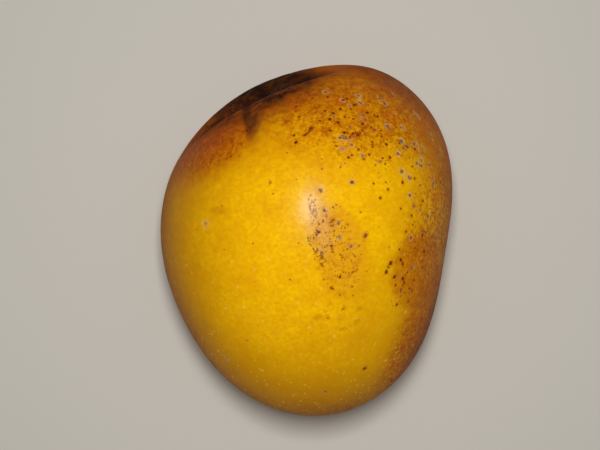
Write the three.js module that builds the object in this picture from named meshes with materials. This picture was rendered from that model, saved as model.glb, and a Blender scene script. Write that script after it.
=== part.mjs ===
import * as THREE from 'three';
import { mergeVertices } from 'three/addons/utils/BufferGeometryUtils.js';

// A whole ripe mango lying on one cheek. Millimetres: +X across the fruit towards its
// back, +Y along it towards the stem end, +Z up from the surface that it lies on.

// ---- Driving dimensions ----

// Plan of the fruit at its widest level: an oval that leans a little, and the slow
// waves that turn it into a lopsided egg. One wave makes it fuller at the back of the
// stem end, the next gives it three blunt corners, and the last squares it slightly.
// Each has its count around the outline, its height, and the bearing of one crest, in
// degrees counter-clockwise from +X.
const HALF_WIDTH = 47;
const HALF_LENGTH = 58;
const LEAN = -8;
const OUTLINE_WAVES = [
  { count: 1, height: 2, bearing: 50 },
  { count: 3, height: 2.5, bearing: 50 },
  { count: 4, height: 0.5, bearing: 45 },
];

// The two cheeks. The upper one is higher and thickens more towards the stem end.
const HALF_THICKNESS = 40;
const UPPER_CHEEK_EXTRA = 2;
const TAPER = 0.08;
const UPPER_TAPER_EXTRA = 0.04;
const FULLNESS = 0.02;

// Dents in the end wall, each an oval dimple pressed straight in along its bearing:
// the hollow around the stem scar, the furrow beside it, and the shoulder, which
// stands out instead of in and so has a negative depth.
const STEM_HOLLOW = { bearing: 100, level: 7, halfWidth: 18, halfHeight: 11, depth: 9.5 };
const SIDE_FURROW = { bearing: 126, level: 5, halfWidth: 12, halfHeight: 7, depth: 2.5 };
const LOWER_SHOULDER = { bearing: 112, level: -8, halfWidth: 34, halfHeight: 12, depth: -2.5 };
const END_DENTS = [STEM_HOLLOW, SIDE_FURROW, LOWER_SHOULDER];

// The crease that runs from the hollow over its rim and fades out on the upper cheek. It
// rises out of the end wall between two levels.
const CREASE_START = new THREE.Vector2(-20, 42);
const CREASE_END = new THREE.Vector2(-17, 25);
const CREASE_HALF_WIDTH = 2.4;
const CREASE_DEPTH = 2;
const CREASE_LEVELS = [2, 22];

// The spot on the lower cheek that its own weight has pressed flat.
const FLAT_DEPTH = 0.9;
const FLAT_BLEND = 0.5;

// Steps along each side of the icosahedron that the skin is drawn on.
const SKIN_DETAIL = 16;

// ---- The form ----

const radians = THREE.MathUtils.degToRad;

// Distance from the middle to the plan outline. waveShare fades the waves out over the
// cheeks, so that their crowns stay smooth.
function planRadius(bearing, waveShare) {
  const fromLean = bearing - radians(LEAN);
  const oval = 1 / Math.hypot(Math.cos(fromLean) / HALF_WIDTH, Math.sin(fromLean) / HALF_LENGTH);
  const waves = OUTLINE_WAVES.reduce(
    (sum, wave) => sum + wave.height * Math.cos(wave.count * (bearing - radians(wave.bearing))),
    0,
  );
  return oval + waves * waveShare;
}

// The smooth body: a direction on the unit sphere becomes a point on the fruit.
function bodyPoint(direction) {
  const { x, y, z: rise } = direction;
  const level = 1 - rise * rise;
  const radius = planRadius(Math.atan2(y, x), level);
  const swell = 1 + 4 * FULLNESS * level * rise * rise;
  const point = new THREE.Vector3(x * radius * swell, y * radius * swell, 0);
  const thickness = HALF_THICKNESS + UPPER_CHEEK_EXTRA * rise;
  const taper = TAPER + UPPER_TAPER_EXTRA * rise;
  point.z = thickness * rise * swell * (1 + (taper * point.y) / HALF_LENGTH);
  return point;
}

// How far one dent presses the skin in along its bearing at a point of the body.
function dentVector(point, dent) {
  const inward = new THREE.Vector3(-Math.cos(radians(dent.bearing)), -Math.sin(radians(dent.bearing)), 0);
  if (point.dot(inward) > 0) return inward.multiplyScalar(0);
  const across = (point.x * inward.y - point.y * inward.x) / dent.halfWidth;
  const above = (point.z - dent.level) / dent.halfHeight;
  return inward.multiplyScalar(dent.depth * Math.exp(-across * across - above * above));
}

// How far the crease lowers the upper cheek at a point of the body.
function creaseDepth(point) {
  const run = CREASE_END.clone().sub(CREASE_START);
  const offset = new THREE.Vector2(point.x, point.y).sub(CREASE_START);
  const along = offset.dot(run) / run.lengthSq();
  const across = offset.cross(run) / run.length() / CREASE_HALF_WIDTH;
  const fade = 1 - THREE.MathUtils.smoothstep(along, 0, 1);
  const rise = THREE.MathUtils.smoothstep(point.z, ...CREASE_LEVELS);
  return CREASE_DEPTH * fade * rise * Math.exp(-across * across);
}

// Levels the bottom at the resting plane, with a soft edge around the flat spot.
function restHeight(z) {
  const plane = UPPER_CHEEK_EXTRA - HALF_THICKNESS + FLAT_DEPTH;
  const near = Math.max(0, FLAT_BLEND - Math.abs(z - plane));
  return Math.max(z, plane) + (near * near) / (4 * FLAT_BLEND);
}

function skinPoint(direction) {
  const body = bodyPoint(direction);
  const point = body.clone();
  END_DENTS.forEach((dent) => point.add(dentVector(body, dent)));
  point.z = restHeight(point.z - creaseDepth(body));
  return point;
}

// ---- The mesh ----

// A closed ball of nearly equal triangles, with each corner held only once.
function unitBall() {
  const ball = new THREE.IcosahedronGeometry(1, SKIN_DETAIL);
  ball.deleteAttribute('normal');
  ball.deleteAttribute('uv');
  return mergeVertices(ball);
}

// Stands the shape on z = 0, with its outline centred on the Z axis.
function standOnOrigin(geometry) {
  geometry.computeBoundingBox();
  const middle = geometry.boundingBox.getCenter(new THREE.Vector3());
  geometry.translate(-middle.x, -middle.y, -geometry.boundingBox.min.z);
}

function fruitGeometry() {
  const geometry = unitBall();
  const corners = geometry.getAttribute('position');
  const direction = new THREE.Vector3();
  for (let i = 0; i < corners.count; i += 1) {
    direction.fromBufferAttribute(corners, i).normalize();
    corners.setXYZ(i, ...skinPoint(direction));
  }
  standOnOrigin(geometry);
  geometry.computeVertexNormals();
  return geometry;
}

const ripeSkin = new THREE.MeshStandardMaterial({ color: 0xe3a61c, roughness: 0.45, metalness: 0 });
const mango = new THREE.Mesh(fruitGeometry(), ripeSkin);
mango.name = 'mango';

const part = new THREE.Group();
part.add(mango);

export default part;
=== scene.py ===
"""A whole ripe mango lying on one cheek on a plain pale floor, looked at from straight above.

The fruit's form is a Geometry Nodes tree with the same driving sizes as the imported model, apart
from a sharper crease, on a much finer grid. A second tree roughens that skin, presses in its
marks and specks, and stores where the nearest of them is and what it is like, so that the
material can colour it. Sizes are in millimetres until they reach a node or a mesh, which are in
metres.
"""

import logging
import math
import random
from dataclasses import dataclass
from enum import Enum
from typing import Any

import bpy
from bpy.types import ID, Material, NodeSocket, NodeTree, Object
from mathutils import Matrix, Vector


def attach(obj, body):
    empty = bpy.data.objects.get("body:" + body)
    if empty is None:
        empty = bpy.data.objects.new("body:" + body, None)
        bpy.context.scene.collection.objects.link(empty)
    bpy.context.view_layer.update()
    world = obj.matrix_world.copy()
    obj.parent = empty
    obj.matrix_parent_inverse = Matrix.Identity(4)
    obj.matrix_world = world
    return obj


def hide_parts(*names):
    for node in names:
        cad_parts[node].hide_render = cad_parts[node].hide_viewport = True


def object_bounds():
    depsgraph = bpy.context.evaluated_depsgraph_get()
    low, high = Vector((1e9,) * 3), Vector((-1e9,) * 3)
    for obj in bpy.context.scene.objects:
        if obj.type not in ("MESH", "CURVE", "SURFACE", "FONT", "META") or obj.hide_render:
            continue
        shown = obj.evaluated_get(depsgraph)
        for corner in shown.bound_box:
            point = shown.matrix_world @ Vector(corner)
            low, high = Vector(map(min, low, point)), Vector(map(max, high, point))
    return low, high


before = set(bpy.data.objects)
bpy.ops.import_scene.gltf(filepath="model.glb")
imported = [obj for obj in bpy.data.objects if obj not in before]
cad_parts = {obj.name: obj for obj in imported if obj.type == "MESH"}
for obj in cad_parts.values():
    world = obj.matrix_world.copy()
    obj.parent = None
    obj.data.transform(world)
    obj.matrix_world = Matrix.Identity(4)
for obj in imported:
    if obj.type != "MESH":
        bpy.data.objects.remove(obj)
CAD_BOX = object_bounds()

LOG = logging.getLogger("mango")
MM = 0.001

MATH = "ShaderNodeMath"
VECTOR_MATH = "ShaderNodeVectorMath"
MAP_RANGE = "ShaderNodeMapRange"
MIX = "ShaderNodeMix"
NOISE = "ShaderNodeTexNoise"
VORONOI = "ShaderNodeTexVoronoi"
PRINCIPLED = "ShaderNodeBsdfPrincipled"
SPLIT = "ShaderNodeSeparateXYZ"
JOIN = "ShaderNodeCombineXYZ"
ATTRIBUTE = "ShaderNodeAttribute"
RANDOM = "FunctionNodeRandomValue"
SCATTER = "GeometryNodeDistributePointsOnFaces"
STORE = "GeometryNodeStoreNamedAttribute"
SET_POSITION = "GeometryNodeSetPosition"

# How many octaves a noise has, from rich to slow, how strongly the skin's finer octaves show,
# and the middle of what a noise gives.
RICH = 4.0
FAIR = 3.0
PLAIN = 2.0
SLOW = 1.0
RUGGED = 0.6
NOISE_MIDDLE = 0.5

# How chance varies a blemish: by how many degrees it turns, and what share of its kind's core,
# ring and age it has.
TURN_SPREAD = (-25.0, 25.0)
CORE_SPREAD = (0.85, 1.0)
RING_SPREAD = (0.5, 1.0)
AGE_SPREAD = (1.0, 1.3)

# A map range node's settings for an edge that eases in and out.
SMOOTH = {"interpolation_type": "SMOOTHSTEP"}

# What is stored for each blemish.
LOOKS = ("radius", "stretch", "turn", "core", "ring", "age")

Colour = tuple[float, float, float, float]
WHITE: Colour = (1.0, 1.0, 1.0, 1.0)


def linear(hex_code: str) -> Colour:
    """Turns an sRGB colour into the linear one that a shader socket holds.

    Args:
        hex_code: The colour as "#rrggbb".

    Returns:
        Red, green, blue and alpha, linear.
    """
    channels = [int(hex_code[i : i + 2], 16) / 255 for i in (1, 3, 5)]
    red, green, blue = (c / 12.92 if c <= 0.04045 else ((c + 0.055) / 1.055) ** 2.4 for c in channels)
    return red, green, blue, 1.0


def place_object(name: str, data: ID) -> Object:
    """Makes an object and links it into the scene.

    Args:
        name: The object's name.
        data: The mesh, light or camera that it holds.

    Returns:
        The new object, at the origin.
    """
    made = bpy.data.objects.new(name, data)
    bpy.context.collection.objects.link(made)
    return made


class Graph:
    """A node tree under construction, with the values of its named inputs."""

    def __init__(self, tree: NodeTree) -> None:
        """Starts on a tree, emptied of the nodes it came with.

        Args:
            tree: The tree to fill.
        """
        self.tree = tree
        self.values: dict[str, Any] = {}
        tree.nodes.clear()

    def add(self, kind: str, *feeds: Any, out: int = 0, **settings: Any) -> NodeSocket:
        """Adds one node with its settings and links.

        Args:
            kind: The node's type name.
            feeds: A socket to link or a value to set, for each input in use, in order. None
                leaves an input as it is.
            out: Which of the outputs in use to return.
            settings: The node's own properties.

        Returns:
            The chosen output socket.
        """
        node = self.tree.nodes.new(kind)
        for name, value in settings.items():
            setattr(node, name, value)
        inputs = [socket for socket in node.inputs if socket.enabled]
        for socket, feed in zip(inputs, feeds):
            if isinstance(feed, NodeSocket):
                self.tree.links.new(feed, socket)
            elif feed is not None:
                socket.default_value = feed
        return [socket for socket in node.outputs if socket.enabled][out]

    def expose(self, name: str, kind: str, value: Any = None) -> NodeSocket:
        """Adds a named input to the tree.

        Args:
            name: The input's name.
            kind: Its socket type.
            value: What a modifier feeds it.

        Returns:
            The socket that carries the input into the tree.
        """
        self.tree.interface.new_socket(name=name, in_out="INPUT", socket_type=kind)
        if value is not None:
            self.values[name] = value
        source = self.tree.nodes.get("Source") or self.tree.nodes.new("NodeGroupInput")
        source.name = "Source"
        return source.outputs[name]

    def length(self, name: str, millimetres: float) -> NodeSocket:
        """Adds a named length input, which the tree reads in metres."""
        return self.expose(name, "NodeSocketFloat", millimetres * MM)

    def finish_geometry(self, geometry: NodeSocket, material: Material) -> None:
        """Ends the tree in real geometry that wears its finish.

        Args:
            geometry: What the tree has made.
            material: The finish that it wears.
        """
        self.tree.interface.new_socket(name="Geometry", in_out="OUTPUT", socket_type="NodeSocketGeometry")
        finish = self.expose("Finish", "NodeSocketMaterial", material)
        real = self.add("GeometryNodeRealizeInstances", geometry)
        dressed = self.add("GeometryNodeSetMaterial", real, None, finish)
        sink = self.tree.nodes.new("NodeGroupOutput")
        self.tree.links.new(dressed, sink.inputs["Geometry"])

    def fit_to(self, piece: Object) -> None:
        """Hangs the tree on a piece as a modifier, with its inputs set.

        Args:
            piece: The object that gets the modifier.
        """
        modifier = piece.modifiers.new(self.tree.name, "NODES")
        modifier.node_group = self.tree
        for item in self.tree.interface.items_tree:
            if item.in_out == "INPUT" and item.name in self.values:
                modifier[item.identifier] = self.values[item.name]


@dataclass(frozen=True)
class Wave:
    """One slow wave around the plan outline: crests, height, and one crest's bearing."""

    count: int
    height: float
    bearing: float


@dataclass(frozen=True)
class Dent:
    """An oval dimple in the end wall, pressed straight in along its bearing."""

    name: str
    bearing: float
    level: float
    half_width: float
    half_height: float
    depth: float

    def inward(self) -> Vector:
        """Points level into the fruit, against the dent's bearing."""
        angle = math.radians(self.bearing)
        return Vector((-math.cos(angle), -math.sin(angle), 0))


@dataclass(frozen=True)
class Crease:
    """The fold that leaves the hollow over its rim: sharp on one side, easy on the other.

    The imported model's skin is too coarse for that, so its crease is even and a little shallower.
    """

    start: tuple[float, float] = (-20.0, 42.0)
    end: tuple[float, float] = (-17.0, 25.0)
    sharp_side: float = 1.0
    easy_side: float = 4.0
    levels: tuple[float, float] = (2.0, 22.0)
    depth: float = 2.2


@dataclass
class FruitForm:
    """The mango's form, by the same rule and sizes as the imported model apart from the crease."""

    half_width: float = 47.0
    half_length: float = 58.0
    lean: float = -8.0
    waves: tuple[Wave, ...] = (
        Wave(1, 2, 50),
        Wave(3, 2.5, 50),
        Wave(4, 0.5, 45),
    )
    half_thickness: float = 40.0
    upper_cheek_extra: float = 2.0
    taper: float = 0.08
    upper_taper_extra: float = 0.04
    fullness: float = 0.02
    dents: tuple[Dent, ...] = (
        Dent("Stem Hollow", 100, 7, 18, 11, 9.5),
        Dent("Side Furrow", 126, 5, 12, 7, 2.5),
        Dent("Lower Shoulder", 112, -8, 34, 12, -2.5),
    )
    crease: Crease = Crease()
    flat_depth: float = 0.9
    flat_blend: float = 0.5
    grid: int = 128

    def tree(self, finish: Material) -> Graph:
        """Builds the tree that makes the whole fruit from nothing.

        Args:
            finish: The skin's material.

        Returns:
            The finished graph.
        """
        g = Graph(bpy.data.node_groups.new("mango form", "GeometryNodeTree"))
        place = g.add("GeometryNodeInputPosition")
        cube = g.add("GeometryNodeMeshCube", (2, 2, 2), *[self.grid + 1] * 3)
        body = g.add(SET_POSITION, cube, None, self._body_point(g, self._direction(g, place)))
        fold = self._crease(g, place)
        body = g.add(STORE, body, None, "crease", fold)
        push = g.add(VECTOR_MATH, fold, (0, 0, -self.crease.depth * MM), operation="MULTIPLY")
        for dent in self.dents:
            weight = self._dent(g, place, dent)
            depth = g.length(f"{dent.name} Depth", dent.depth)
            inward = g.add(VECTOR_MATH, dent.inward(), depth, operation="SCALE")
            step = g.add(VECTOR_MATH, inward, weight, operation="SCALE")
            push = g.add(VECTOR_MATH, push, step, operation="ADD")
            body = g.add(STORE, body, None, dent.name.lower(), weight)
        dented = g.add(SET_POSITION, body, None, None, push)
        rested = g.add(SET_POSITION, dented, None, self._rested(g, place))
        stood = g.add(SET_POSITION, rested, None, None, self._to_origin(g, rested))
        g.finish_geometry(g.add("GeometryNodeSetShadeSmooth", stood), finish)
        return g

    def _direction(self, g: Graph, place: NodeSocket) -> NodeSocket:
        """Turns the cube's grid into evenly spread directions on the unit sphere.

        Args:
            g: The graph.
            place: The position on the cube, whose half side is 1.

        Returns:
            The direction.
        """
        angle = g.add(VECTOR_MATH, place, math.pi / 4, operation="SCALE")
        even = g.add(VECTOR_MATH, angle, operation="TANGENT")
        return g.add(VECTOR_MATH, even, operation="NORMALIZE")

    def _plan_radius(self, g: Graph, bearing: NodeSocket, share: NodeSocket) -> NodeSocket:
        """Finds how far the plan outline is from the middle.

        Args:
            g: The graph.
            bearing: The direction seen from above, in radians.
            share: How much of the waves shows, from 1 at the outline to 0 at the crowns.

        Returns:
            The radius, in metres.
        """
        turned = g.add(MATH, bearing, math.radians(self.lean), operation="SUBTRACT")
        cosine = g.add(MATH, turned, operation="COSINE")
        sine = g.add(MATH, turned, operation="SINE")
        across = g.add(MATH, cosine, g.length("Half Width", self.half_width), operation="DIVIDE")
        along = g.add(MATH, sine, g.length("Half Length", self.half_length), operation="DIVIDE")
        inverse = g.add(VECTOR_MATH, g.add(JOIN, across, along), operation="LENGTH")
        radius = g.add(MATH, 1.0, inverse, operation="DIVIDE")
        for wave in self.waves:
            phase = -wave.count * math.radians(wave.bearing)
            angle = g.add(MATH, bearing, float(wave.count), phase, operation="MULTIPLY_ADD")
            crest = g.add(MATH, g.add(MATH, angle, operation="COSINE"), share, operation="MULTIPLY")
            height = g.length(f"Wave {wave.count} Height", wave.height)
            radius = g.add(MATH, crest, height, radius, operation="MULTIPLY_ADD")
        return radius

    def _body_point(self, g: Graph, direction: NodeSocket) -> NodeSocket:
        """Turns a direction into a point on the smooth body, before any dent.

        Args:
            g: The graph.
            direction: The direction from the middle, of length 1.

        Returns:
            The point, in metres.
        """
        x, y, rise = g.add(SPLIT, direction).node.outputs
        rise_squared = g.add(MATH, rise, rise, operation="MULTIPLY")
        level = g.add(MATH, 1.0, rise_squared, operation="SUBTRACT")
        bearing = g.add(MATH, y, x, operation="ARCTAN2")
        corner = g.add(MATH, level, rise_squared, operation="MULTIPLY")
        swell = g.add(MATH, corner, 4 * self.fullness, 1.0, operation="MULTIPLY_ADD")
        reach = g.add(MATH, self._plan_radius(g, bearing, level), swell, operation="MULTIPLY")
        plan = g.add(VECTOR_MATH, direction, reach, operation="SCALE")
        plan_x, plan_y, _ = g.add(SPLIT, plan).node.outputs
        cheek = g.length("Half Thickness", self.half_thickness)
        extra = g.length("Upper Cheek Extra", self.upper_cheek_extra)
        thickness = g.add(MATH, extra, rise, cheek, operation="MULTIPLY_ADD")
        taper = g.add(MATH, rise, self.upper_taper_extra, self.taper, operation="MULTIPLY_ADD")
        run = g.add(MATH, plan_y, self.half_length * MM, operation="DIVIDE")
        tapered = g.add(MATH, taper, run, 1.0, operation="MULTIPLY_ADD")
        height = g.add(MATH, thickness, rise, operation="MULTIPLY")
        height = g.add(MATH, height, swell, operation="MULTIPLY")
        height = g.add(MATH, height, tapered, operation="MULTIPLY")
        return g.add(JOIN, plan_x, plan_y, height)

    def _dent(self, g: Graph, place: NodeSocket, dent: Dent) -> NodeSocket:
        """Weighs a dent, from 1 at its middle to 0 away from it.

        Args:
            g: The graph.
            place: The position on the smooth body, in metres.
            dent: The dent.

        Returns:
            The weight.
        """
        inward = dent.inward()
        sideways = (inward.y, -inward.x, 0)
        across = g.add(VECTOR_MATH, place, sideways, operation="DOT_PRODUCT")
        across = g.add(MATH, across, dent.half_width * MM, operation="DIVIDE")
        height = g.add(SPLIT, place, out=2)
        above = g.add(MATH, height, dent.level * MM, operation="SUBTRACT")
        above = g.add(MATH, above, dent.half_height * MM, operation="DIVIDE")
        offset = g.add(JOIN, across, above)
        squared = g.add(VECTOR_MATH, offset, offset, operation="DOT_PRODUCT")
        bell = g.add(MATH, g.add(MATH, squared, -1.0, operation="MULTIPLY"), operation="EXPONENT")
        facing = g.add(VECTOR_MATH, place, inward, operation="DOT_PRODUCT")
        near_side = g.add(MATH, facing, 0.0, operation="LESS_THAN")
        return g.add(MATH, bell, near_side, operation="MULTIPLY")

    def _crease(self, g: Graph, place: NodeSocket) -> NodeSocket:
        """Weighs the crease, from 1 along its floor at the hollow to 0 away from it.

        Args:
            g: The graph.
            place: The position on the smooth body, in metres.

        Returns:
            The weight.
        """
        start = Vector((*self.crease.start, 0)) * MM
        run = Vector((*self.crease.end, 0)) * MM - start
        ahead = run.normalized()
        offset = g.add(VECTOR_MATH, place, start, operation="SUBTRACT")
        along = g.add(VECTOR_MATH, offset, ahead, operation="DOT_PRODUCT")
        fade = g.add(MAP_RANGE, along, 0.0, run.length, 1.0, 0.0, **SMOOTH)
        across = g.add(VECTOR_MATH, offset, (-ahead.y, ahead.x, 0), operation="DOT_PRODUCT")
        easy = g.add(MATH, across, 0.0, operation="GREATER_THAN")
        widths = (self.crease.sharp_side * MM, self.crease.easy_side * MM)
        width = g.add(MAP_RANGE, easy, 0.0, 1.0, *widths)
        share = g.add(MATH, across, width, operation="DIVIDE")
        squared = g.add(MATH, share, share, operation="MULTIPLY")
        bell = g.add(MATH, g.add(MATH, squared, -1.0, operation="MULTIPLY"), operation="EXPONENT")
        height = g.add(SPLIT, place, out=2)
        low, high = (level * MM for level in self.crease.levels)
        rise = g.add(MAP_RANGE, height, low, high, **SMOOTH)
        fold = g.add(MATH, bell, fade, operation="MULTIPLY")
        return g.add(MATH, fold, rise, operation="MULTIPLY")

    def _rested(self, g: Graph, place: NodeSocket) -> NodeSocket:
        """Levels the bottom at the resting plane, with a soft edge around the flat spot.

        Args:
            g: The graph.
            place: The position on the dented fruit, in metres.

        Returns:
            The position with its height levelled.
        """
        x, y, z = g.add(SPLIT, place).node.outputs
        plane = self.upper_cheek_extra - self.half_thickness + self.flat_depth
        level = g.add(MATH, z, plane * MM, self.flat_blend * MM, operation="SMOOTH_MAX")
        return g.add(JOIN, x, y, level)

    def _to_origin(self, g: Graph, geometry: NodeSocket) -> NodeSocket:
        """Finds the shift that stands the fruit on z = 0 with its outline centred.

        Args:
            g: The graph.
            geometry: The fruit.

        Returns:
            The shift, in metres.
        """
        _, low, high = g.add("GeometryNodeBoundBox", geometry).node.outputs
        middle = g.add(VECTOR_MATH, low, high, operation="ADD")
        centre = g.add(VECTOR_MATH, middle, (-0.5, -0.5, 0), operation="MULTIPLY")
        return g.add(VECTOR_MATH, low, (0, 0, -1), centre, operation="MULTIPLY_ADD")


class Blemish(Enum):
    """What a blemish looks like: its core's strength, its ring's, and its age.

    A young core is red-brown with a russet ring, and an old one has dried to grey with a pale
    ring.
    """

    PIT = (0.9, 0.8, 0.7)
    SCAB = (0.45, 0.6, 0.9)
    SPECK = (0.95, 0.5, 0.0)
    PINPOINT = (0.7, 0.35, 0.0)
    FLECK = (0.0, 0.6, 0.0)


@dataclass(frozen=True)
class Cluster:
    """A loose group of one kind of blemish, strewn over an oval of the upper cheek.

    The oval is given as seen from above: its middle, its half length and half width, and how
    far its length is turned from +X, in degrees. Radii run from the smallest to the largest.
    """

    kind: Blemish
    count: int
    middle: tuple[float, float]
    half: tuple[float, float] = (0.0, 0.0)
    turn: float = 0.0
    radii: tuple[float, float] = (0.4, 0.6)
    stretch: float = 1.4
    tries: int = 4

    def _spot(self, draw: random.Random) -> Vector:
        """Draws one place in the oval.

        Args:
            draw: The seeded source of chance.

        Returns:
            The place seen from above, in millimetres.
        """
        angle = draw.uniform(0, math.tau)
        reach = math.sqrt(draw.random())
        spot = Vector((reach * math.cos(angle) * self.half[0], reach * math.sin(angle) * self.half[1]))
        spot.rotate(Matrix.Rotation(math.radians(self.turn), 2))
        return spot + Vector(self.middle)

    def strew(self, draw: random.Random) -> list[dict[str, float]]:
        """Draws the group's blemishes, each in the loneliest of a few places tried.

        Args:
            draw: The seeded source of chance.

        Returns:
            For each blemish its place and its look, by name, in metres and radians.
        """
        places: list[Vector] = []
        while len(places) < self.count:
            spots = [self._spot(draw) for _ in range(self.tries)]
            gaps = [min(((spot - other).length for other in places), default=0.0) for spot in spots]
            places.append(spots[gaps.index(max(gaps))])
        core, ring, age = self.kind.value
        return [
            {
                "x": place.x * MM,
                "y": place.y * MM,
                "radius": draw.triangular(*self.radii, self.radii[0]) * MM,
                "stretch": draw.uniform(1.0, self.stretch),
                "turn": math.radians(self.turn + draw.uniform(*TURN_SPREAD)),
                "core": core * draw.uniform(*CORE_SPREAD),
                "ring": ring * draw.uniform(*RING_SPREAD),
                "age": min(1.0, age * draw.uniform(*AGE_SPREAD)),
            }
            for place in places
        ]


@dataclass(frozen=True)
class Unevenness:
    """A noise over the skin, read between two of its values.

    It has the width of its lumps in millimetres, its octaves, the two values, and what it gives
    at each of them.
    """

    width: float
    octaves: float
    low: float
    high: float
    least: float = 0.0
    most: float = 1.0

    def value(self, g: Graph, place: NodeSocket) -> NodeSocket:
        """Reads the noise at a position in metres, from the least to the most."""
        noise = g.add(NOISE, place, 1 / (self.width * MM), self.octaves, RUGGED)
        return g.add(MAP_RANGE, noise, self.low, self.high, self.least, self.most)


@dataclass(frozen=True)
class Patch:
    """A soft-edged oval region of the skin."""

    centre: tuple[float, float, float]
    half: tuple[float, float, float]
    turn: float = 0.0
    inner: float = 0.4

    def mask(self, g: Graph, place: NodeSocket) -> NodeSocket:
        """Weighs the patch, from 1 inside to 0 outside.

        Args:
            g: The graph, of either sort.
            place: The position to weigh, in metres.

        Returns:
            The weight.
        """
        offset = g.add(VECTOR_MATH, place, Vector(self.centre) * MM, operation="SUBTRACT")
        angle = -math.radians(self.turn)
        turned = g.add("ShaderNodeVectorRotate", offset, (0, 0, 0), angle, rotation_type="Z_AXIS")
        scaled = g.add(VECTOR_MATH, turned, Vector(self.half) * MM, operation="DIVIDE")
        reach = g.add(VECTOR_MATH, scaled, operation="LENGTH")
        return g.add(MAP_RANGE, reach, self.inner, 1.0, 1.0, 0.0, **SMOOTH)


@dataclass(frozen=True)
class StemScar:
    """The corky scar where the stalk came off: a raised ring around a pit, amid wrinkles.

    Reaches and the ring's half width are in radii of the scar, and the rest is in millimetres.
    """

    centre: tuple[float, float, float] = (-8.0, 49.0, 40.0)
    radius: float = 4.2
    ring_height: float = 0.7
    ring_reach: float = 0.85
    ring_half_width: float = 0.3
    pit_depth: float = 1.0
    pit_reach: tuple[float, float] = (0.2, 0.75)
    wrinkle_height: float = 0.5
    wrinkle_start: tuple[float, float] = (0.8, 1.4)
    wrinkle_reach: float = 3.6
    wrinkles_around: float = 3.2

    def rise(self, g: Graph, place: NodeSocket) -> tuple[NodeSocket, NodeSocket]:
        """Raises the scar and wrinkles the skin around it.

        Args:
            g: The graph.
            place: The position, in metres.

        Returns:
            The height to add, in metres, and how far out from the scar's middle, in its radii.
        """
        offset = g.add(VECTOR_MATH, place, Vector(self.centre) * MM, operation="SUBTRACT")
        away = g.add(VECTOR_MATH, offset, operation="LENGTH")
        share = g.add(MATH, away, self.radius * MM, operation="DIVIDE")
        ring = g.add(MATH, share, self.ring_reach, operation="SUBTRACT")
        ring = g.add(MATH, ring, self.ring_half_width, operation="DIVIDE")
        bell = g.add(MATH, g.add(MATH, ring, 2.0, operation="POWER"), -1.0, operation="MULTIPLY")
        bell = g.add(MATH, bell, operation="EXPONENT")
        height = g.add(MATH, bell, g.length("Scar Ring Height", self.ring_height), operation="MULTIPLY")
        pit = g.add(MAP_RANGE, share, *self.pit_reach, 1.0, 0.0, **SMOOTH)
        depth = g.add(MATH, pit, g.length("Scar Pit Depth", self.pit_depth), operation="MULTIPLY")
        height = g.add(MATH, height, depth, operation="SUBTRACT")
        spokes = g.add(VECTOR_MATH, offset, operation="NORMALIZE")
        folds = g.add(NOISE, spokes, self.wrinkles_around, PLAIN)
        folds = g.add(MATH, folds, NOISE_MIDDLE, operation="SUBTRACT")
        near, clear = self.wrinkle_start
        rising = g.add(MAP_RANGE, share, near, clear, **SMOOTH)
        falling = g.add(MAP_RANGE, share, clear, self.wrinkle_reach, 1.0, 0.0, **SMOOTH)
        folds = g.add(MATH, g.add(MATH, folds, rising, operation="MULTIPLY"), falling, operation="MULTIPLY")
        wrinkle = g.length("Wrinkle Height", 2 * self.wrinkle_height)
        return g.add(MATH, folds, wrinkle, height, operation="MULTIPLY_ADD"), share


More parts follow.
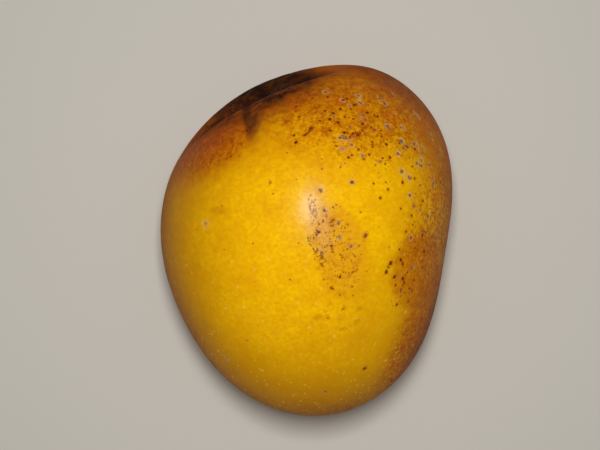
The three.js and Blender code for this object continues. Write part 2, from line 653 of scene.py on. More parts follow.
@dataclass
class SkinRelief:
    """The small relief of the skin, and the marks and specks scattered over it.

    Sizes are in millimetres, and reaches are in radii of a mark. The skin step is about the width
    of one face of the grid: no point between its corners is nearer to a mark than they are by
    more than that.
    """

    scar: StemScar = StemScar()

    clusters: tuple[Cluster, ...] = (
        # The lone ringed pit on the left cheek, and two marks near the tip.
        Cluster(Blemish.SCAB, 1, (-31, 5), radii=(0.8, 0.8)),
        Cluster(Blemish.SPECK, 1, (18, -40), turn=45, radii=(0.7, 0.7)),
        Cluster(Blemish.SCAB, 1, (-25, -37), radii=(0.6, 0.6)),
        # The stem shoulder: a row of ringed pits near its edge, and dark specks below them.
        Cluster(Blemish.PIT, 5, (14, 44), (11, 2), -5, (0.45, 0.7), 2.0),
        Cluster(Blemish.SPECK, 16, (7, 38), (12, 7), 0, (0.35, 0.65)),
        Cluster(Blemish.SPECK, 5, (2, 33), (7, 3), 25, (0.5, 0.75)),
        Cluster(Blemish.PIT, 3, (12, 30), (3, 1), -20, (0.4, 0.6), 2.4),
        Cluster(Blemish.SPECK, 14, (16, 32), (14, 8), -20, (0.3, 0.5)),
        Cluster(Blemish.SPECK, 12, (-26, 32), (14, 7), 35, (0.25, 0.45)),
        Cluster(Blemish.FLECK, 16, (-27, 33), (14, 9), 35, (0.4, 0.8)),
        # The back: pits in a loose column, between smears of grey scab.
        Cluster(Blemish.PIT, 9, (29, 30), (14, 5), -70, (0.45, 0.75)),
        Cluster(Blemish.PIT, 6, (35, 12), (15, 4), 80, (0.45, 0.65), 2.0),
        Cluster(Blemish.SCAB, 7, (36, 33), (17, 5), -55, (0.5, 0.8), 2.0),
        Cluster(Blemish.SPECK, 20, (25, 22), (19, 8), -65, (0.3, 0.6)),
        Cluster(Blemish.SPECK, 5, (27, -10), (5, 3), 80, (0.5, 0.75)),
        Cluster(Blemish.SPECK, 16, (31, -8), (13, 5), 80, (0.3, 0.55)),
        # The run of dried sap: smears at its head and middle, and specks all over it.
        Cluster(Blemish.PIT, 1, (4, 15), turn=-50, radii=(0.75, 0.75), stretch=1.8),
        Cluster(Blemish.PIT, 2, (4, -4), (2, 0.5), -60, (0.5, 0.6), 2.4),
        Cluster(Blemish.PINPOINT, 12, (2, 8), (6, 1.5), -75, (0.2, 0.35), 2.0),
        Cluster(Blemish.PINPOINT, 12, (3, -3), (5, 2), -65, (0.2, 0.35), 2.0),
        Cluster(Blemish.SPECK, 5, (7, -5), (13, 5), 105, (0.35, 0.5)),
        Cluster(Blemish.PINPOINT, 30, (9, -6), (16, 6), 105, (0.2, 0.4)),
        # Soft flecks below the run, and a few specks anywhere on the cheek.
        Cluster(Blemish.FLECK, 10, (10, -22), (9, 5), 0, (0.4, 0.75)),
        Cluster(Blemish.PINPOINT, 24, (2, 14), (36, 28), 0, (0.2, 0.35)),
    )
    speck_regions: tuple[tuple[Patch, float], ...] = (
        (Patch((22, 30, 66), (24, 20, 22), -35, 0.5), 0.8),
        (Patch((36, 5, 55), (11, 30, 26), -8, 0.4), 1.0),
        (Patch((8, 2, 78), (6.5, 17, 14), 22, 0.5), 1.0),
        (Patch((31, -10, 64), (9, 12, 22), -10, 0.4), 0.9),
    )
    speck_spacing: float = 1.5
    speck_crowding: float = 0.7
    speck_background: float = 0.02
    speck_radii: tuple[float, float] = (0.15, 0.55)
    speck_smallness: float = 3.0
    speck_stretch: tuple[float, float] = (1.0, 1.8)
    speck_core: tuple[float, float] = (0.35, 0.9)
    speck_ring: float = 0.75
    speck_age: float = 0.6
    seed: int = 7
    drop_height: float = 200.0
    smooth_below: float = 2.0
    pit_depth: float = 0.16
    pit_reach: tuple[float, float] = (0.6, 1.8)
    pit_radii: tuple[float, float] = (0.2, 0.7)
    skin_step: float = 0.6
    sway_height: float = 0.5
    sway_width: float = 26.0
    dimple_height: float = 0.07
    dimple_width: float = 5.0

    def mark_points(self) -> Object:
        """Makes the clusters' blemishes as loose points above the fruit, with their looks.

        Returns:
            An object with one vertex a blemish.
        """
        draw = random.Random(self.seed)
        blemishes = [blemish for cluster in self.clusters for blemish in cluster.strew(draw)]
        mesh = bpy.data.meshes.new("placed marks")
        above = self.drop_height * MM
        mesh.from_pydata([(blemish["x"], blemish["y"], above) for blemish in blemishes], [], [])
        for name in LOOKS:
            values = [blemish[name] for blemish in blemishes]
            mesh.attributes.new(name, "FLOAT", "POINT").data.foreach_set("value", values)
        return place_object("placed marks", mesh)

    def tree(self, finish: Material, points: Object) -> Graph:
        """Builds the tree that roughens a smooth fruit.

        Args:
            finish: The skin's material.
            points: The placed marks.

        Returns:
            The finished graph.
        """
        g = Graph(bpy.data.node_groups.new("skin relief", "GeometryNodeTree"))
        fruit = g.expose("Geometry", "NodeSocketGeometry")
        place = g.add("GeometryNodeInputPosition")
        normal = g.add("GeometryNodeInputNormal")
        rise, scar_reach = self.scar.rise(g, place)
        swell = g.add(MATH, self._sway(g, place), rise, operation="ADD")
        fruit = g.add(STORE, fruit, None, "scar reach", scar_reach)
        clouds = {"mark": self._placed(g, fruit, points), "speck": self._scattered(g, fruit, place)}
        for name, cloud in clouds.items():
            fruit, pit = self._record(g, fruit, cloud, place, name)
            swell = g.add(MATH, swell, pit, operation="SUBTRACT")
        offset = g.add(VECTOR_MATH, normal, swell, operation="SCALE")
        height = g.add(SPLIT, place, out=2)
        above_floor = g.add(MATH, height, self.smooth_below * MM, operation="GREATER_THAN")
        rough = g.add(SET_POSITION, fruit, above_floor, None, offset)
        g.finish_geometry(rough, finish)
        return g

    def _sway(self, g: Graph, place: NodeSocket) -> NodeSocket | float:
        """Makes the slow unevenness of the flesh and the shallow dimples of the skin.

        Args:
            g: The graph.
            place: The position, in metres.

        Returns:
            The height to add, in metres.
        """
        total: NodeSocket | float = 0.0
        for name, width, height in (
            ("Sway", self.sway_width, self.sway_height),
            ("Dimple", self.dimple_width, self.dimple_height),
        ):
            noise = g.add(NOISE, place, 1 / (width * MM), SLOW)
            centred = g.add(MATH, noise, NOISE_MIDDLE, operation="SUBTRACT")
            layer = g.add(MATH, centred, g.length(f"{name} Height", height), operation="MULTIPLY")
            total = g.add(MATH, layer, total, operation="ADD")
        return total

    def _placed(self, g: Graph, fruit: NodeSocket, points: Object) -> NodeSocket:
        """Drops the placed marks straight down onto the fruit.

        Args:
            g: The graph.
            fruit: The skin's geometry.
            points: The placed marks.

        Returns:
            The marks, as points on the skin.
        """
        source = g.expose("Marks", "NodeSocketObject", points)
        loose = g.add("GeometryNodeObjectInfo", source).node.outputs["Geometry"]
        reach = self.drop_height * MM
        hit = g.add("GeometryNodeRaycast", fruit, None, None, (0, 0, -1), reach, out=1)
        return g.add(SET_POSITION, loose, None, hit)

    def _scattered(self, g: Graph, fruit: NodeSocket, place: NodeSocket) -> NodeSocket:
        """Scatters the random specks where the skin is most weathered.

        Args:
            g: The graph.
            fruit: The skin's geometry.
            place: The position, in metres.

        Returns:
            The specks, as points with their looks.
        """
        share: NodeSocket | float = self.speck_background
        for patch, density in self.speck_regions:
            layer = g.add(MATH, patch.mask(g, place), density, operation="MULTIPLY")
            share = g.add(MATH, share, layer, operation="MAXIMUM")
        seed = g.expose("Speck Seed", "NodeSocketInt", self.seed)
        spacing = g.length("Speck Spacing", self.speck_spacing)
        most = self.speck_crowding / (self.speck_spacing * MM) ** 2
        cloud = g.add(SCATTER, fruit, None, spacing, most, share, seed, distribute_method="POISSON")
        chance = g.add(RANDOM, 0.0, 1.0, None, seed)
        size = g.add(MATH, chance, self.speck_smallness, operation="POWER")
        smallest, largest = (radius * MM for radius in self.speck_radii)
        for field, value in (
            ("radius", g.add(MAP_RANGE, size, 0.0, 1.0, smallest, largest)),
            ("stretch", g.add(RANDOM, *self.speck_stretch, None, 1)),
            ("turn", g.add(RANDOM, 0.0, math.tau, None, 2)),
            ("core", g.add(RANDOM, *self.speck_core, None, 3)),
            ("ring", g.add(MATH, size, self.speck_ring, operation="MULTIPLY")),
            ("age", g.add(RANDOM, 0.0, self.speck_age, None, 4)),
        ):
            cloud = g.add(STORE, cloud, None, field, value)
        return cloud

    def _record(
        self, g: Graph, fruit: NodeSocket, cloud: NodeSocket, place: NodeSocket, name: str
    ) -> tuple[NodeSocket, NodeSocket]:
        """Stores on the skin where its nearest mark is and what it is like.

        Args:
            g: The graph.
            fruit: The skin's geometry.
            cloud: The marks, as points with their looks.
            place: The position field.
            name: What to call the stored layer.

        Returns:
            The skin with the layer stored, and how deep the marks press it in, in metres.
        """
        nearest = g.add("GeometryNodeSampleNearest", cloud, place, domain="POINT")
        centre = g.add("GeometryNodeSampleIndex", cloud, place, nearest, data_type="FLOAT_VECTOR")
        read = {}
        for field in LOOKS:
            value = g.add("GeometryNodeInputNamedAttribute", field)
            read[field] = g.add("GeometryNodeSampleIndex", cloud, value, nearest)
        offset = g.add(VECTOR_MATH, place, centre, operation="SUBTRACT")
        back = g.add(MATH, read["turn"], -1.0, operation="MULTIPLY")
        turned = g.add("ShaderNodeVectorRotate", offset, (0, 0, 0), back, rotation_type="Z_AXIS")
        long_axis = g.add(MATH, read["radius"], read["stretch"], operation="MULTIPLY")
        axes = g.add(JOIN, long_axis, read["radius"], read["radius"])
        share = g.add(VECTOR_MATH, turned, axes, operation="DIVIDE")
        reach = g.add(VECTOR_MATH, share, operation="LENGTH")
        slack = g.add(MATH, self.skin_step * MM, read["radius"], operation="DIVIDE")
        floor = g.add(MATH, reach, slack, operation="SUBTRACT")
        fruit = g.add(STORE, fruit, None, f"{name} offset", share, data_type="FLOAT_VECTOR")
        fruit = g.add(STORE, fruit, None, f"{name} floor", floor)
        for field in ("core", "ring", "age"):
            fruit = g.add(STORE, fruit, None, f"{name} {field}", read[field])
        hollow = g.add(MAP_RANGE, reach, *self.pit_reach, 1.0, 0.0, **SMOOTH)
        big = g.add(MAP_RANGE, read["radius"], *(radius * MM for radius in self.pit_radii))
        depth = g.add(MATH, hollow, g.length(f"{name.title()} Depth", self.pit_depth), operation="MULTIPLY")
        return fruit, g.add(MATH, depth, big, operation="MULTIPLY")


@dataclass(frozen=True)
class Band:
    """A part of the skin past a line across the fruit, fading in along a bearing.

    It may be limited to a half width to both sides of a middle, and is full over a share of it.
    """

    bearing: float
    start: float
    end: float
    middle: float = 0.0
    half_width: float = 200.0
    full_share: float = 0.75

    def mask(self, g: Graph, place: NodeSocket) -> NodeSocket:
        """Weighs the band, from 0 where it starts to 1 where it is full.

        Args:
            g: The graph.
            place: The position to weigh, in metres.

        Returns:
            The weight.
        """
        angle = math.radians(self.bearing)
        ahead = (math.cos(angle), math.sin(angle), 0)
        right = (math.sin(angle), -math.cos(angle), 0)
        along = g.add(VECTOR_MATH, place, ahead, operation="DOT_PRODUCT")
        across = g.add(VECTOR_MATH, place, right, operation="DOT_PRODUCT")
        across = g.add(MATH, across, self.middle * MM, operation="SUBTRACT")
        side = g.add(MATH, across, operation="ABSOLUTE")
        width = self.half_width * MM
        full = self.full_share * width
        within = g.add(MAP_RANGE, side, full, width, 1.0, 0.0, **SMOOTH)
        past = g.add(MAP_RANGE, along, self.start * MM, self.end * MM)
        return g.add(MATH, past, within, operation="MULTIPLY")


@dataclass(frozen=True)
class StainAndShade:
    """A stained part of the skin, or a part with painted shade, where all its shapes overlap.

    It has a colour, a strength at most, and how far its edge is ragged, in millimetres.
    """

    where: tuple[Patch | Band, ...]
    colour: str
    strength: float
    ragged: float = 4.0


@dataclass(frozen=True)
class Mottle:
    """An uneven tint of the skin.

    It has the width of its lumps in millimetres, the noise values where it starts and where it
    is full, its strength there and its colour.
    """

    width: float
    start: float
    full: float
    strength: float
    colour: str

    def lay(
        self, g: Graph, place: NodeSocket, colour: NodeSocket, where: NodeSocket | float = 1.0
    ) -> NodeSocket:
        """Mixes the tint into a colour.

        Args:
            g: The graph.
            place: The position, in metres.
            colour: The colour under it.
            where: How much of it shows, from 0 to 1.

        Returns:
            The tinted colour.
        """
        apart = g.add(VECTOR_MATH, place, (self.width * MM,) * 3, operation="ADD")
        amount = Unevenness(self.width, RICH, self.start, self.full, 0.0, self.strength).value(g, apart)
        amount = g.add(MATH, amount, where, operation="MULTIPLY")
        return g.add(MIX, amount, colour, linear(self.colour), data_type="RGBA")


@dataclass(frozen=True)
class Pores:
    """One size of the skin's pale breathing pores.

    It has the width of the cells that each hold one, in millimetres, a pore's reach in cells, its
    strength at most, and the levels along the fruit where the pores start and where they are
    full.
    """

    cell: float
    reach: float
    strength: float
    start: float
    full: float
    softness: float = 3.0

    def mask(self, g: Graph, place: NodeSocket) -> NodeSocket:
        """Weighs the pores, from their strength in the middle of one to 0 between them.

        Args:
            g: The graph.
            place: The position, in metres.

        Returns:
            The weight.
        """
        along = g.add(SPLIT, place, out=1)
        strength = g.add(MAP_RANGE, along, self.start * MM, self.full * MM, 0.0, self.strength)
        distance = g.add(VORONOI, place, 1 / (self.cell * MM))
        firm = self.reach / self.softness
        dot = g.add(MAP_RANGE, distance, firm, self.reach, 1.0, 0.0, **SMOOTH)
        return g.add(MATH, dot, strength, operation="MULTIPLY")


@dataclass(frozen=True)
class Pepper:
    """Pinpoint specks in clumps, at most one to a cell.

    It has the width of the cells in millimetres, the share of them without a speck, the largest
    speck's reach and its soft edge in cells, and how strongly a speck shows.
    """

    cell: float = 0.95
    empty: float = 0.25
    reach: float = 0.36
    edge: float = 0.14
    strength: float = 0.75
    clumps: Unevenness = Unevenness(5.0, PLAIN, 0.35, 0.55)

    def mask(self, g: Graph, place: NodeSocket, where: NodeSocket | float) -> NodeSocket:
        """Weighs the specks, from their strength in the middle of one to 0 between them.

        Args:
            g: The graph.
            place: The position, in metres.
            where: How much of them shows, from 0 to 1.

        Returns:
            The weight.
        """
        where = g.add(MATH, where, self.clumps.value(g, place), operation="MULTIPLY")
        cells = g.add(VORONOI, place, 1 / (self.cell * MM)).node
        chance = g.add("ShaderNodeSeparateColor", cells.outputs["Color"])
        size = g.add(MAP_RANGE, chance, self.empty, 1.0, 0.0, self.reach)
        inside = g.add(MATH, size, cells.outputs["Distance"], operation="SUBTRACT")
        dot = g.add(MAP_RANGE, inside, 0.0, self.edge, 0.0, self.strength, **SMOOTH)
        return g.add(MATH, dot, where, operation="MULTIPLY")


@dataclass(frozen=True)
class SapAndShade:
    """Old sap and painted shade in one dent of the form: the dent's name and how the darkening
    fades with its weight.

    It starts at the faint weight, is full at the other, and has its strength there.
    """

    dent: str
    faint: float
    full: float
    strength: float


@dataclass(frozen=True)
class RipeMangoSkin:
    """A ripe mango's rind: leathery skin under a thin natural wax.

    The wax gives one soft satin highlight. Under it the flesh glows a little, so the gold is
    deep and even. Sun and dried sap have stained the stem end, the flanks and the run on the
    upper cheek orange to russet, and painted shade darkens the flanks, the left side, the dents
    and the wedge beside the crease.

    Levels are heights above the floor, and widths, heights and depths are sizes, in millimetres. A
    pair that is a drift is the width of a noise and how far it moves an edge. Reaches are in radii
    of a mark, and the scar's edge and pit are in radii of the scar.
    """

    gold: str = "#fac302"
    # The flanks' amber: partly the skin's own tint, partly painted shade that darkens the sides.
    flank_amber_and_shade: str = "#985003"
    flank_levels: tuple[float, float] = (75.0, 44.0)
    underside_levels: tuple[float, float] = (32.0, 8.0)
    underside_share: float = 0.35
    flank_drift: tuple[float, float] = (20.0, 12.0)
    patch_drift: tuple[float, float] = (4.0, 2.0)
    cheek_mottles: tuple[Mottle, ...] = (
        Mottle(7.0, 0.45, 0.75, 0.4, "#dd8f04"),
        Mottle(3.2, 0.48, 0.7, 0.35, "#e09a04"),
        Mottle(1.2, 0.35, 0.75, 0.75, "#dd9404"),
    )
    stains_and_shade: tuple[StainAndShade, ...] = (
        # The stem end, from orange on the cheek to nearly black over the rim.
        StainAndShade((Band(98, 14, 56),), "#b65a02", 1.0),
        StainAndShade((Patch((-28, 34, 52), (25, 22, 36), 35, 0.2),), "#b24600", 0.95, 3.0),
        StainAndShade((Patch((-3, 42, 64), (20, 9, 22), 12, 0.1),), "#9c4c04", 0.55),
        StainAndShade((Band(110, 37, 44.5), Patch((-19, 46, 48), (31, 28, 36), 20, 0.65)), "#4c1a03", 0.95, 3.0),
        StainAndShade((Patch((-12, 43, 52), (10, 6.5, 20), 25, 0.6),), "#301405", 0.95, 1.5),
        StainAndShade((Band(110, 42.5, 45.5), Patch((-17, 46.5, 46), (26, 24, 30), 20, 0.68)), "#1c0c05", 1.0, 2.0),
        StainAndShade((Patch((29, 51, 44), (25, 12, 32), -36, 0.4),), "#7a3602", 0.7),
        # The brown wedge beside the crease, partly stain and partly painted shade where the skin
        # steps down: sharp along it, softer where it slants down to it.
        StainAndShade(
            (Patch((-16, 39, 58), (9, 11, 30), 0, 0.6), Band(10, -12.9, -12.1), Band(166, 21.4, 24.6)),
            "#5e2c06",
            0.85,
            0.8,
        ),
        # The sides: an amber band of painted shade on the left, russet on the back and the lower right
        # flank.
        # Painted shade: darker over the whole left flank.
        StainAndShade((Band(182, 18, 50),), "#9a5603", 0.55),
        StainAndShade((Patch((33, -9, 58), (10, 14, 26), -10, 0.75),), "#b86204", 0.7, 2.5),
        StainAndShade((Patch((42, 28, 50), (11, 28, 40), 15, 0.2),), "#a45004", 0.5),
        StainAndShade((Patch((38, -28, 50), (11, 26, 36), -22, 0.5),), "#a85404", 0.5),
        StainAndShade((Patch((44, -32, 40), (16, 30, 24), -25, 0.35),), "#5e2400", 0.9),
        # A slow darkening towards the tip.
        StainAndShade((Band(272, 22, 66),), "#ae7002", 0.5),
        # The run of dried sap: dull orange with a brown edge, lilac at its head.
        StainAndShade((Patch((11, -4, 76), (9, 17, 14), 14, 0.75),), "#cc800a", 0.35, 2.5),
        StainAndShade((Patch((10, -2, 76), (7.5, 15, 14), 14, 0.7),), "#e6a518", 0.55, 2.5),
        StainAndShade((Patch((3, 6, 78), (6, 13, 9), 12, 0.3),), "#e0ac72", 0.45, 2.0),
        # A faint bruise beside the lone pit.
        StainAndShade((Patch((-27, 9, 72), (5, 2, 9), 0, 0.2),), "#b06a06", 0.5, 1.5),
    )
    stain_and_shade_edge_width: float = 1.5
    stain_and_shade_cover: Unevenness = Unevenness(2.2, RICH, 0.3, 0.6, 0.55, 1.0)
    # The weathered shoulder and flanks: orange clouds, brown blots and a grain.
    weathered: tuple[Patch, ...] = (
        Patch((14, 40, 55), (44, 24, 50), 0, 0.4),
        Patch((42, 0, 50), (20, 44, 46), -6, 0.3),
        Patch((-27, 33, 52), (24, 15, 34), 35, 0.6),
        Patch((35, -32, 46), (12, 28, 34), -25, 0.5),
    )
    weathered_mottles: tuple[Mottle, ...] = (
        Mottle(5.0, 0.46, 0.64, 0.6, "#bf5d02"),
        Mottle(2.2, 0.5, 0.68, 0.6, "#943f04"),
        Mottle(0.9, 0.5, 0.72, 0.7, "#8a3c06"),
    )
    grain: Unevenness = Unevenness(1.1, RICH, 0.3, 0.7)
    grain_shades: tuple[Colour, Colour] = ((0.7, 0.48, 0.4, 1.0), (1.25, 1.35, 1.3, 1.0))
    # Blots in the run of dried sap.
    sap_run: Patch = Patch((8.5, -3.5, 78), (8.5, 17, 14), 14, 0.65)
    run_mottles: tuple[Mottle, ...] = (
        Mottle(3.0, 0.47, 0.67, 0.5, "#cc7a10"),
        Mottle(1.0, 0.5, 0.7, 0.5, "#a85a14"),
    )
    # Pores up to 1 mm wide all over the cheek, and finer and closer together towards the tip.
    pores: tuple[Pores, ...] = (
        Pores(4.4, 0.17, 0.5, 20, -20),
        Pores(2.2, 0.24, 0.55, -10, -50),
    )
    pore: str = "#f7c548"
    # Pinpoint specks over the run, the lower back and the shoulder.
    peppered: tuple[Patch, ...] = (
        Patch((9, -2, 78), (8, 18, 12), 15, 0.7),
        Patch((31, -8, 64), (9, 14, 24), -12, 0.4),
        Patch((20, 32, 64), (24, 18, 24), -30, 0.3),
    )
    pepper: Pepper = Pepper()
    speckle: str = "#6a2604"
    # The marks: a broken ring around a core, which is dark red when young and dries to grey.
    mark_edge: Unevenness = Unevenness(0.7, FAIR, 0.2, 0.8, 0.5, 1.5)
    ring_gaps: Unevenness = Unevenness(1.6, PLAIN, 0.35, 0.6, 0.3, 1.0)
    ring_reach: tuple[float, float] = (1.0, 2.3)
    core_reach: tuple[float, float] = (0.45, 1.25)
    crust: Unevenness = Unevenness(0.7, PLAIN, 0.4, 0.6)
    ring: str = "#d9b878"
    russet_ring: str = "#b86004"
    core: str = "#520c00"
    old_core: str = "#77676a"
    # Old sap in the dents and on the rim, which has lost its wax, painted shade deepening the dents,
    # and the corky stem scar.
    sap_and_shade_in_dents: tuple[SapAndShade, ...] = (
        SapAndShade("stem hollow", 0.3, 0.72, 0.94),
        SapAndShade("side furrow", 0.62, 1.0, 0.8),
        SapAndShade("crease", 0.1, 1.0, 0.7),
    )
    sap_and_shade_edge_width: float = 3.0
    sap_and_shade_drift: float = 0.35
    dull_rim: Band = Band(110, 38, 44, 4, 60)
    scar_drift: float = 0.5
    scar_edge: tuple[float, float] = (1.0, 1.15)
    scar_pit: tuple[float, float] = (0.3, 0.7)
    cork_grain: Unevenness = Unevenness(0.8, FAIR, 0.35, 0.65, 0.0, 0.8)
    sap_and_shade: str = "#1f0d04"
    cork: str = "#4c2f14"
    # The wax, which is thickest on the upper cheek, and the flesh that glows through it.
    wax_levels: tuple[float, float] = (45.0, 70.0)
    roughness: float = 0.25
    flank_roughness: float = 0.6
    dry_roughness: float = 0.8
    wax_ior: float = 1.45
    wax_shine: float = 0.08
    glow: float = 0.1
    glow_spread: tuple[float, float, float] = (1.0, 0.45, 0.08)
    glow_depth: float = 2.0
    bump_width: float = 0.8
    bump_height: float = 0.05
    bump_strength: float = 0.35

    def material(self) -> Material:
        """Builds the skin's material.

        Returns:
            The finished material.
        """
        # Leathery rind under its own wax: deep gold with one soft highlight, and matt where sap
        # and scabs have dried on it.
        skin = bpy.data.materials.new("ripe mango skin")
        skin.use_nodes = True
        g = Graph(skin.node_tree)
        place = g.add("ShaderNodeTexCoord", out=3)
        near = self._drifted(g, place, *self.patch_drift)
        colour = self._stained_and_shaded(g, place, self._ground(g, place))
        colour = self._freckled(g, place, near, colour)
        dots = [(pores.mask(g, place), self.pore) for pores in self.pores]
        specks = self.pepper.mask(g, place, self._any(g, near, self.peppered))
        for mask, tint in (*dots, (specks, self.speckle)):
            colour = g.add(MIX, mask, colour, linear(tint), data_type="RGBA")
        colour, mark_dry = self._marks(g, place, colour, "mark")
        colour, speck_dry = self._marks(g, place, colour, "speck")
        colour, stem_dry = self._stem_end(g, place, colour)
        dry = g.add(MATH, mark_dry, speck_dry, operation="MAXIMUM")
        dry = g.add(MATH, dry, stem_dry, operation="MAXIMUM")
        shader = g.add(PRINCIPLED, colour).node
        height = g.add(SPLIT, place, out=2)
        low, high = (level * MM for level in self.wax_levels)
        waxed = g.add(MAP_RANGE, height, low, high, self.flank_roughness, self.roughness)
        roughness = g.add(MAP_RANGE, dry, 0.0, 1.0, waxed, self.dry_roughness)
        g.tree.links.new(roughness, shader.inputs["Roughness"])
        g.tree.links.new(self._fine_bump(g, place), shader.inputs["Normal"])
        shader.inputs["IOR"].default_value = self.wax_ior
        shader.inputs["Specular IOR Level"].default_value = self.wax_shine
        shader.inputs["Subsurface Weight"].default_value = self.glow
        shader.inputs["Subsurface Radius"].default_value = self.glow_spread
        shader.inputs["Subsurface Scale"].default_value = self.glow_depth * MM
        sink = g.tree.nodes.new("ShaderNodeOutputMaterial")
        g.tree.links.new(shader.outputs["BSDF"], sink.inputs["Surface"])
        return skin

    def _drifted(self, g: Graph, place: NodeSocket, width: float, reach: float) -> NodeSocket:
        """Shifts positions by a noise, so that a patch weighed there gets a ragged edge.

        Args:
            g: The graph.
            place: The position, in metres.
            width: How wide the noise's lumps are, in millimetres.
            reach: How far the noise can move an edge, in millimetres.

        Returns:
            The shifted position.
        """
        drift = g.add(NOISE, place, 1 / (width * MM), RICH, RUGGED, out=1)
        centred = g.add(VECTOR_MATH, drift, (NOISE_MIDDLE,) * 3, operation="SUBTRACT")
        return g.add(VECTOR_MATH, centred, (2 * reach * MM,) * 3, place, operation="MULTIPLY_ADD")

    def _ground(self, g: Graph, place: NodeSocket) -> NodeSocket:
        """Fades the gold of both cheeks to the flanks' amber, partly painted shade, in slow clouds with a
        fine grain.

        Args:
            g: The graph.
            place: The position, in metres.

        Returns:
            The colour.
        """
        moved = self._drifted(g, place, *self.flank_drift)
        height = g.add(SPLIT, moved, out=2)
        top, bottom = (level * MM for level in self.flank_levels)
        flank_amber_and_shade = g.add(MAP_RANGE, height, top, bottom)
        top, bottom = (level * MM for level in self.underside_levels)
        under = g.add(MAP_RANGE, height, top, bottom, 1.0, self.underside_share)
        flank_amber_and_shade = g.add(MATH, flank_amber_and_shade, under, operation="MULTIPLY")
        # Painted shade with the flanks' own amber: darker towards the sides, less so underneath.
        colour = g.add(MIX, flank_amber_and_shade, linear(self.gold), linear(self.flank_amber_and_shade), data_type="RGBA")
        for mottle in self.cheek_mottles:
            colour = mottle.lay(g, place, colour)
        return colour

    def _stained_and_shaded(self, g: Graph, place: NodeSocket, colour: NodeSocket) -> NodeSocket:
        """Lays the stains and the painted shade over each other, in order, with ragged edges and uneven
        cover.

        Args:
            g: The graph.
            place: The position, in metres.
            colour: The colour under them.

        Returns:
            The stained colour.
        """
        moved = {
            ragged: self._drifted(g, place, self.stain_and_shade_edge_width * ragged, ragged)
            for ragged in sorted({stain_and_shade.ragged for stain_and_shade in self.stains_and_shade})
        }
        cover = self.stain_and_shade_cover.value(g, place)
        for stain_and_shade in self.stains_and_shade:
            mask = stain_and_shade.strength
            for shape in stain_and_shade.where:
                mask = g.add(MATH, shape.mask(g, moved[stain_and_shade.ragged]), mask, operation="MULTIPLY")
            mask = g.add(MATH, mask, cover, operation="MULTIPLY")
            colour = g.add(MIX, mask, colour, linear(stain_and_shade.colour), data_type="RGBA")
        return colour

    def _freckled(
        self, g: Graph, place: NodeSocket, near: NodeSocket, colour: NodeSocket
    ) -> NodeSocket:
        """Mottles the weathered skin and the run of dried sap, and gives the former a grain.

        Args:
            g: The graph.
            place: The position, in metres.
            near: The position, shifted a little.
            colour: The colour under the mottles.

        Returns:
            The mottled colour.
        """
        where = self._any(g, place, self.weathered)
        for mottle in self.weathered_mottles:
            colour = mottle.lay(g, place, colour, where)
        run = self.sap_run.mask(g, near)
        for mottle in self.run_mottles:
            colour = mottle.lay(g, place, colour, run)
        shade = g.add(MIX, self.grain.value(g, place), *self.grain_shades, data_type="RGBA")
        shade = g.add(MIX, where, WHITE, shade, data_type="RGBA")
        return g.add(VECTOR_MATH, colour, shade, operation="MULTIPLY")

    def _any(self, g: Graph, place: NodeSocket, patches: tuple[Patch, ...]) -> NodeSocket | float:
        """Weighs a group of patches as one, by the strongest of them.

        Args:
            g: The graph.
            place: The position to weigh, in metres.
            patches: The patches.

        Returns:
            The weight.
        """
        total: NodeSocket | float = 0.0
        for patch in patches:
            total = g.add(MATH, patch.mask(g, place), total, operation="MAXIMUM")
        return total

    def _marks(
        self, g: Graph, place: NodeSocket, colour: NodeSocket, layer: str
    ) -> tuple[NodeSocket, NodeSocket]:
        """Colours one layer of stored blemishes: a ring around a dark core.

        Args:
            g: The graph.
            place: The position, in metres.
            colour: The colour under the marks.
            layer: The name that the marks were stored under.

        Returns:
            The colour with the blemishes on it, and how dry the skin is there.
        """
        offset = g.add(ATTRIBUTE, attribute_name=f"{layer} offset", out=1)
        floor, core, ring, age = (
            g.add(ATTRIBUTE, attribute_name=f"{layer} {field}", out=2)
            for field in ("floor", "core", "ring", "age")
        )
        reach = g.add(MATH, g.add(VECTOR_MATH, offset, operation="LENGTH"), floor, operation="MAXIMUM")
        reach = g.add(MATH, reach, self.mark_edge.value(g, place), operation="MULTIPLY")
        halo = g.add(MAP_RANGE, reach, *self.ring_reach, 1.0, 0.0, **SMOOTH)
        halo = g.add(MATH, halo, self.ring_gaps.value(g, place), operation="MULTIPLY")
        halo = g.add(MATH, halo, ring, operation="MULTIPLY")
        dark = g.add(MAP_RANGE, reach, *self.core_reach, 1.0, 0.0, **SMOOTH)
        dark = g.add(MATH, dark, core, operation="MULTIPLY")
        pale = g.add(MIX, age, linear(self.russet_ring), linear(self.ring), data_type="RGBA")
        colour = g.add(MIX, halo, colour, pale, data_type="RGBA")
        dried = g.add(MATH, self.crust.value(g, place), age, operation="MULTIPLY")
        crust = g.add(MIX, dried, linear(self.core), linear(self.old_core), data_type="RGBA")
        colour = g.add(MIX, dark, colour, crust, data_type="RGBA")
        return colour, g.add(MATH, halo, age, operation="MULTIPLY")

    def _stem_end(
        self, g: Graph, place: NodeSocket, colour: NodeSocket
    ) -> tuple[NodeSocket, NodeSocket]:
        """Stains the hollow, the furrow and the crease with old sap, and corks the stem scar.

        Args:
            g: The graph.
            place: The position, in metres.
            colour: The colour under the sap and the shade.

        Returns:
            The colour with the sap, the painted shade and the scar on it, and how dry the skin is there.
        """
        ragged = g.add(NOISE, place, 1 / (self.sap_and_shade_edge_width * MM), RICH, RUGGED)
        ragged = g.add(MATH, ragged, NOISE_MIDDLE, operation="SUBTRACT")
        total: NodeSocket | float = 0.0
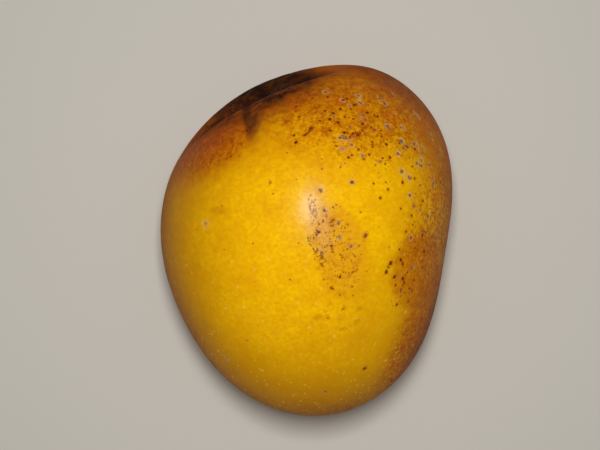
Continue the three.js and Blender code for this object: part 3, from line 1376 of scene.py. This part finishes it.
        # Old sap and painted shade: darkest where the hollow, the furrow and the crease are deepest.
        for stain_and_shade in self.sap_and_shade_in_dents:
            weight = g.add(ATTRIBUTE, attribute_name=stain_and_shade.dent, out=2)
            weight = g.add(MATH, ragged, self.sap_and_shade_drift, weight, operation="MULTIPLY_ADD")
            mask = g.add(MAP_RANGE, weight, stain_and_shade.faint, stain_and_shade.full, 0.0, stain_and_shade.strength)
            total = g.add(MATH, mask, total, operation="MAXIMUM")
        sap_and_shade = linear(self.sap_and_shade)
        colour = g.add(MIX, total, colour, sap_and_shade, data_type="RGBA")
        reach = g.add(ATTRIBUTE, attribute_name="scar reach", out=2)
        reach = g.add(MATH, ragged, self.scar_drift, reach, operation="MULTIPLY_ADD")
        scar = g.add(MAP_RANGE, reach, *self.scar_edge, 1.0, 0.0)
        cork = g.add(MIX, self.cork_grain.value(g, place), linear(self.cork), sap_and_shade, data_type="RGBA")
        pit = g.add(MAP_RANGE, reach, *self.scar_pit, 1.0, 0.0)
        cork = g.add(MIX, pit, cork, sap_and_shade, data_type="RGBA")
        colour = g.add(MIX, scar, colour, cork, data_type="RGBA")
        dull = g.add(MATH, self.dull_rim.mask(g, place), scar, operation="MAXIMUM")
        return colour, g.add(MATH, total, dull, operation="MAXIMUM")

    def _fine_bump(self, g: Graph, place: NodeSocket) -> NodeSocket:
        """Bumps the normal with the skin's finest texture, which is too small for the mesh."""
        texture = g.add(NOISE, place, 1 / (self.bump_width * MM), PLAIN, RUGGED)
        return g.add("ShaderNodeBump", self.bump_strength, self.bump_height * MM, None, texture)


@dataclass
class Mango:
    """The fruit: its form, its relief and its finish."""

    form: FruitForm
    relief: SkinRelief
    skin: RipeMangoSkin

    def build(self) -> Object:
        """Makes the fruit as one plain mesh and ties it to the frame.

        Returns:
            The finished piece.
        """
        finish = self.skin.material()
        fruit = place_object("mango_fruit", bpy.data.meshes.new("mango seed"))
        self.form.tree(finish).fit_to(fruit)
        points = self.relief.mark_points()
        self.relief.tree(finish, points).fit_to(fruit)
        graph = bpy.context.evaluated_depsgraph_get()
        mesh = bpy.data.meshes.new_from_object(fruit.evaluated_get(graph), depsgraph=graph)
        fruit.modifiers.clear()
        fruit.data = mesh
        bpy.data.objects.remove(points)
        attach(fruit, "root")
        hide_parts("mango")
        return fruit


@dataclass(frozen=True)
class MattFloor:
    """A matt pale paint: it takes the fruit's soft shadow and mirrors nothing."""

    colour: str = "#d0cbc1"
    roughness: float = 0.8

    def material(self) -> Material:
        """Builds the floor's material.

        Returns:
            The finished material.
        """
        paint = bpy.data.materials.new("matt pale floor")
        paint.use_nodes = True
        g = Graph(paint.node_tree)
        shader = g.add(PRINCIPLED, linear(self.colour), None, self.roughness)
        sink = g.tree.nodes.new("ShaderNodeOutputMaterial")
        g.tree.links.new(shader, sink.inputs["Surface"])
        return paint


@dataclass
class Studio:
    """A plain pale floor, one small oblong light near the lens, dim air and the camera above."""

    floor_side: float = 6000.0
    floor_finish: MattFloor = MattFloor()
    camera_x: float = -2.1
    camera_y: float = 4.6
    camera_above_middle: float = 460.0
    sensor_width: float = 36.0
    view_width: float = 195.5
    lamp_from_lens: tuple[float, float, float] = (0.0, 55.0, 30.0)
    lamp_aim: tuple[float, float, float] = (0.0, 0.0, 40.0)
    lamp_width: float = 65.0
    lamp_length: float = 110.0
    lamp_watts: float = 1.83
    air_colour: Colour = (1.0, 0.97, 0.93, 1.0)
    air_strength: float = 0.175

    def build(self) -> None:
        """Makes the floor, the lights, the world and the camera."""
        low, high = CAD_BOX
        middle = (low.z + high.z) / 2
        self._floor()
        self._world()
        eye = Vector((self.camera_x * MM, self.camera_y * MM, middle + self.camera_above_middle * MM))
        self._lamp(eye + Vector(self.lamp_from_lens) * MM)
        lens = bpy.data.cameras.new("camera")
        lens.sensor_width = self.sensor_width
        lens.lens = self.sensor_width * self.camera_above_middle / self.view_width
        camera = place_object("camera", lens)
        camera.location = eye
        bpy.context.scene.camera = camera
        bpy.context.scene.view_settings.view_transform = "Standard"

    def _lamp(self, place: Vector) -> None:
        """Hangs the oblong light so that it points at the fruit.

        Args:
            place: Where it hangs, in metres.
        """
        light = bpy.data.lights.new("key light", "AREA")
        light.shape = "RECTANGLE"
        light.size = self.lamp_width * MM
        light.size_y = self.lamp_length * MM
        light.energy = self.lamp_watts
        lamp = place_object("key light", light)
        lamp.location = place
        ray = Vector(self.lamp_aim) * MM - place
        lamp.rotation_euler = ray.to_track_quat("-Z", "Y").to_euler()

    def _floor(self) -> None:
        """Lays the pale floor that the fruit rests on."""
        half = self.floor_side / 2 * MM
        mesh = bpy.data.meshes.new("floor")
        corners = [(-half, -half, 0), (half, -half, 0), (half, half, 0), (-half, half, 0)]
        mesh.from_pydata(corners, [], [(0, 1, 2, 3)])
        mesh.materials.append(self.floor_finish.material())
        floor = place_object("floor", mesh)

    def _world(self) -> None:
        """Fills the room with dim even light."""
        world = bpy.data.worlds.new("studio")
        world.use_nodes = True
        g = Graph(world.node_tree)
        sky = g.add("ShaderNodeBackground", self.air_colour, self.air_strength)
        sink = g.tree.nodes.new("ShaderNodeOutputWorld")
        g.tree.links.new(sky, sink.inputs["Surface"])
        bpy.context.scene.world = world


def main() -> None:
    """Builds the fruit and its studio."""
    logging.basicConfig(level=logging.INFO, format="%(name)s: %(message)s")
    Studio().build()
    fruit = Mango(FruitForm(), SkinRelief(), RipeMangoSkin()).build()
    LOG.info("%s: %d vertices, %d faces", fruit.name, len(fruit.data.vertices), len(fruit.data.polygons))


if __name__ == "__main__":
    main()
